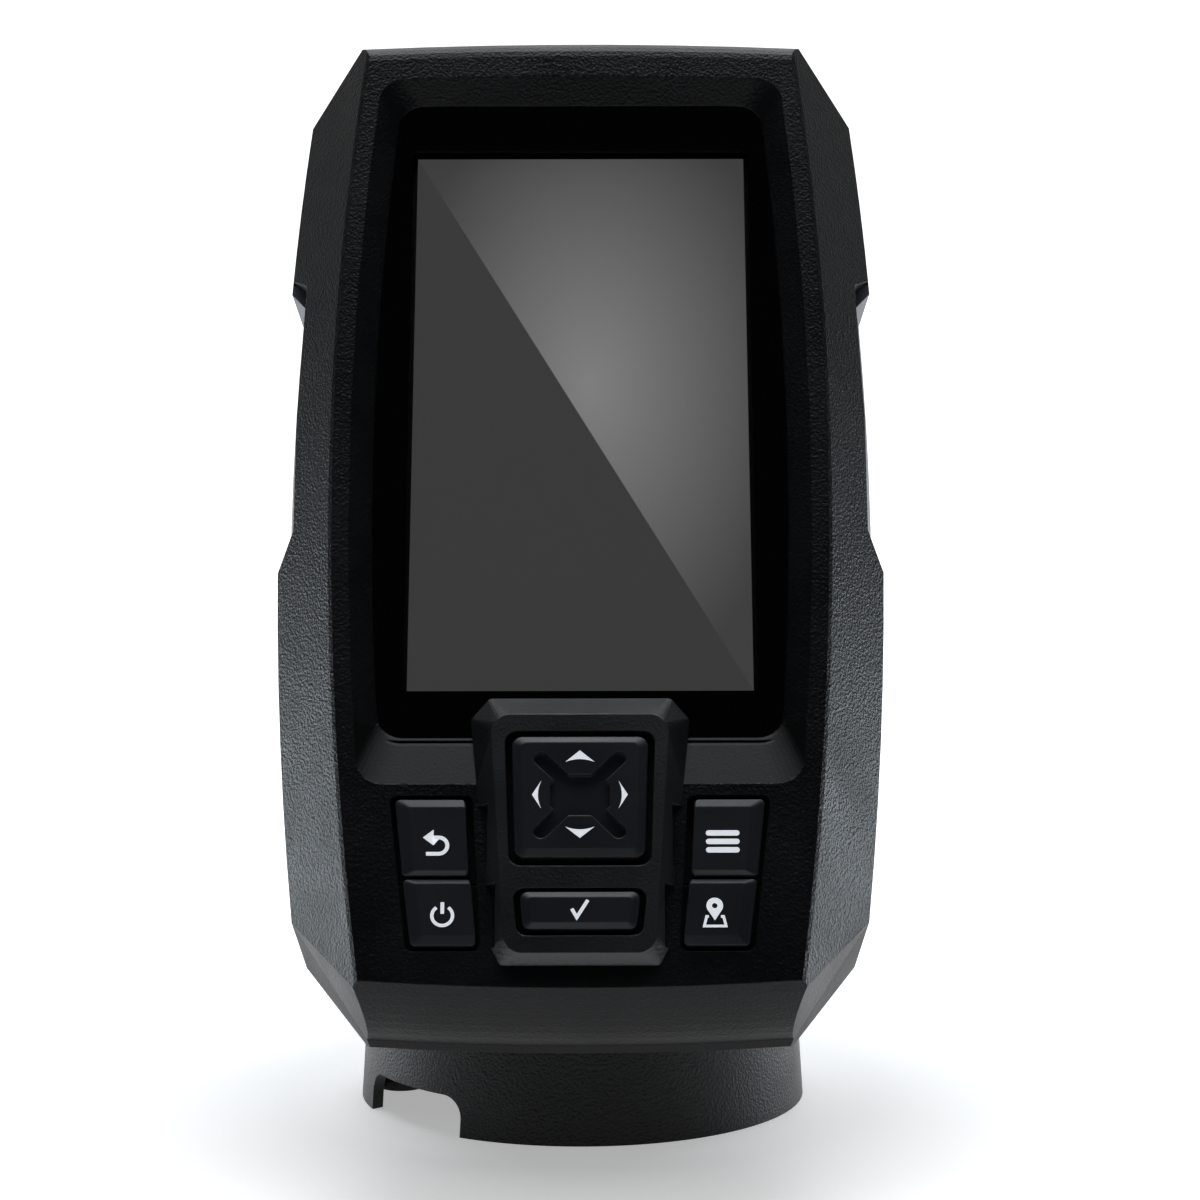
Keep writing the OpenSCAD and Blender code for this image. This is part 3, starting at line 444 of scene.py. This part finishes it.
def make_mark(name, node, outlines, top):
    """A thin printed mark on a key. Where one outline lies inside another, it is a hole."""
    curve = bpy.data.curves.new(name, "CURVE")
    curve.dimensions = "2D"
    curve.fill_mode = "BOTH"
    curve.extrude = MARK_DEPTH * MM / 2
    for outline in outlines:
        spline = curve.splines.new("POLY")
        spline.points.add(len(outline) - 1)
        for point, (x, y) in zip(spline.points, outline):
            point.co = (x * MM, y * MM, 0, 1)
        spline.use_cyclic_u = True
    flat = bpy.data.objects.new(name + "_curve", curve)
    bpy.context.scene.collection.objects.link(flat)
    evaluated = flat.evaluated_get(bpy.context.evaluated_depsgraph_get())
    mesh = bpy.data.meshes.new_from_object(evaluated)
    bpy.data.objects.remove(flat)
    turn = Matrix((FACE_RIGHT, FACE_UP, FACE_OUT)).transposed().to_4x4()
    mesh.transform(Matrix.Translation(on_face(0, 0, top + MARK_DEPTH / 2)) @ turn)
    mark = bpy.data.objects.new(name, mesh)
    bpy.context.scene.collection.objects.link(mark)
    mark.data.materials.append(MARK_INK_PAINTED_GLOW)
    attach(mark, BODY[node])


def ink_with_painted_glow(name):
    """Off-white pad print, a little uneven, made brighter by a painted glow."""
    look = Look(name)
    patches = look.spread(look.noise(900.0, 4.0), 0.35, 0.7, 0.0, 1.0)
    shade = look.mix(patches, srgb(238, 241, 247), srgb(222, 226, 234))
    look.bump(look.noise(3000.0), 0.004 * MM)
    # The emission is a painted glow that makes the print brighter than the light on it.
    look.set(Base_Color=shade, Roughness=look.spread(look.noise(400.0), 0.3, 0.7, 0.45, 0.6),
             Emission_Color=srgb(235, 239, 246), Emission_Strength=0.55)
    return look.material


MARK_INK_PAINTED_GLOW = ink_with_painted_glow("ink_with_painted_glow")

PAD_X, PAD_Y = 0.0, -19.8
make_mark("pad_arrows", "arrow_pad", [
    arrowhead((PAD_X, PAD_Y + 7.15), (PAD_X, PAD_Y + 5.3), 2.2, 0.45),
    arrowhead((PAD_X, PAD_Y - 6.95), (PAD_X, PAD_Y - 5.15), 2.2, 0.45),
    arrowhead((PAD_X + 7.25, PAD_Y), (PAD_X + 5.85, PAD_Y), 2.25, 0.5),
    arrowhead((PAD_X - 7.25, PAD_Y), (PAD_X - 5.85, PAD_Y), 2.25, 0.5),
], ISLAND_KEY_TOP)
make_mark("tick_mark", "select_key",
          [stroke([(-1.2, -37.95), (-0.45, -39.3), (1.2, -36.6)], 0.52)], ISLAND_KEY_TOP)
make_mark("back_arrow", "back_key", [
    [(-23.7, -26.0), (-22.1, -24.75), (-22.1, -27.25)],
    stroke([(-22.2, -26.0), (-21.3, -26.0)] + arc((-21.3, -27.3), 1.3, 84, -90, 16)
           + [(-23.2, -28.6)], 0.58),
], SMALL_KEY_TOP)
make_mark("power_ring", "power_key", [
    stroke(arc((-20.6, -38.4), 1.55, 125, 415, 32), 0.5),
    stroke([(-20.6, -36.3), (-20.6, -38.1)], 0.55),
], SMALL_KEY_TOP)
make_mark("menu_bars", "menu_key",
          [bar(19.0, 24.1, y, 0.85) for y in (-25.35, -26.7, -28.05)], SMALL_KEY_TOP)
make_mark("mark_pin", "mark_key", [
    arc((20.2, -36.9), 1.25, -32, 212, 24) + [(20.2, -39.2)],
    arc((20.2, -36.9), 0.42, 0, 345, 15),
], SMALL_KEY_TOP)
tray = [(19.3, -38.6), (18.95, -38.6), (18.6, -40.1), (21.85, -40.1), (21.5, -38.6), (21.1, -38.6)]
make_mark("mark_tray", "mark_key", [stroke(tray, 0.4)], SMALL_KEY_TOP)


# ---------- stage and lights ----------

SOFT_WHITE = (0.92, 0.97, 1.0)
LIGHT_BLUE = (0.82, 0.92, 1.0)
# The floor glows less near the object, which paints a shade pool around the base, and where only
# the object sees it: to the sides and ahead.
FLOOR_NEAR_GLOW, FLOOR_FAR_GLOW = 0.4, 1.1
FLOOR_NEAR, FLOOR_FAR = 0.05, 0.16
FLOOR_SIDE_FADE, FLOOR_SIDE_SHARE = (0.6, 1.0), 0.35
FLOOR_FRONT_FADE, FLOOR_FRONT_SHARE = (0.075, 0.12), 0.25
DARK_LEVEL, HORIZON_LEVEL = 0.015, 0.08


def make_floor():
    """A pale floor that curves up into a wall far behind the object."""
    width, near, far, bend, wall, steps = 6.0, -3.0, 2.2, 1.0, 3.0, 16
    profile = [(near, 0.0), (far, 0.0)]
    for step in range(1, steps + 1):
        angle = math.radians(90 * step / steps)
        profile.append((far + bend * math.sin(angle), bend * (1 - math.cos(angle))))
    profile.append((far + bend, wall))
    mesh = bpy.data.meshes.new("floor_mesh")
    points = [(side * width / 2, y, z) for y, z in profile for side in (-1, 1)]
    faces = [(2 * i, 2 * i + 1, 2 * i + 3, 2 * i + 2) for i in range(len(profile) - 1)]
    mesh.from_pydata(points, [], faces)
    floor = bpy.data.objects.new("floor", mesh)
    bpy.context.scene.collection.objects.link(floor)
    mesh.shade_smooth()
    look = Look("pale_floor")
    far_away = look.tree.nodes.new("ShaderNodeVectorMath")
    far_away.operation = "LENGTH"
    look.join(look.place, far_away.inputs[0])
    # Lower emission within FLOOR_FAR of the object is a painted shade pool on the floor around the
    # base.
    painted_glow = look.spread(far_away.outputs["Value"], FLOOR_NEAR, FLOOR_FAR,
                       FLOOR_NEAR_GLOW, FLOOR_FAR_GLOW)
    aside = look.math("ABSOLUTE", look.along(FACE_RIGHT, (0, 0, 0)))
    side_share = look.spread(aside, *FLOOR_SIDE_FADE, 1.0, FLOOR_SIDE_SHARE)
    ahead = look.along((0, -1, 0), (0, 0, 0))
    front_share = look.spread(ahead, *FLOOR_FRONT_FADE, 1.0, FLOOR_FRONT_SHARE)
    painted_glow = look.math("MULTIPLY", look.math("MULTIPLY", painted_glow, side_share), front_share)
    look.set(Base_Color=look.mix(look.noise(3.0), (0.86, 0.86, 0.87, 1), (0.9, 0.9, 0.9, 1)),
             Roughness=0.7, Emission_Color=(1, 1, 1, 1), Emission_Strength=painted_glow,
             Specular_IOR_Level=0.2)
    floor.data.materials.append(look.material)


def make_light(name, at, target, wide, tall, power, colour=SOFT_WHITE):
    data = bpy.data.lights.new(name, "AREA")
    data.energy = power
    data.color = colour
    data.shape = "RECTANGLE"
    data.size = wide
    data.size_y = tall
    light = bpy.data.objects.new(name, data)
    light.location = at
    light.rotation_euler = (Vector(target) - Vector(at)).to_track_quat("-Z", "Y").to_euler()
    bpy.context.scene.collection.objects.link(light)


def make_world():
    """Bright low down at the sides and behind, and dark in front and above, so that the window
    and the flat face stay black while the slanted sides catch the light."""
    world = bpy.data.worlds.new("studio")
    bpy.context.scene.world = world
    world.use_nodes = True
    tree = world.node_tree
    background = tree.nodes["Background"]
    way = tree.nodes.new("ShaderNodeTexCoord")
    parts = tree.nodes.new("ShaderNodeSeparateXYZ")
    tree.links.new(way.outputs["Generated"], parts.inputs[0])

    def ramp(axis, start, end, low, high):
        node = tree.nodes.new("ShaderNodeMapRange")
        node.interpolation_type = "SMOOTHSTEP"
        ends = {"From Min": start, "From Max": end, "To Min": low, "To Max": high}
        for name, number in ends.items():
            node.inputs[name].default_value = number
        tree.links.new(parts.outputs[axis], node.inputs["Value"])
        return node.outputs["Result"]

    level = tree.nodes.new("ShaderNodeMath")
    level.operation = "MULTIPLY_ADD"
    tree.links.new(ramp("Z", 0.02, 0.3, HORIZON_LEVEL, 0.0), level.inputs[0])
    tree.links.new(ramp("Y", -0.25, 0.3, 0.0, 1.0), level.inputs[1])
    level.inputs[2].default_value = DARK_LEVEL
    tree.links.new(level.outputs[0], background.inputs["Strength"])
    background.inputs["Color"].default_value = SOFT_WHITE + (1.0,)


make_floor()
make_world()
make_light("top_softbox", at=(0, 0.25, 0.95), target=(0, 0, 0.1), wide=0.9, tall=0.8, power=7.0)
for side in (-1, 1):
    make_light(f"low_softbox_{side}", at=(side * 0.6, 0.24, 0.05), target=(0, 0, 0.05),
               wide=0.35, tall=0.08, power=0.82, colour=LIGHT_BLUE)

bpy.context.scene.view_settings.view_transform = "Standard"
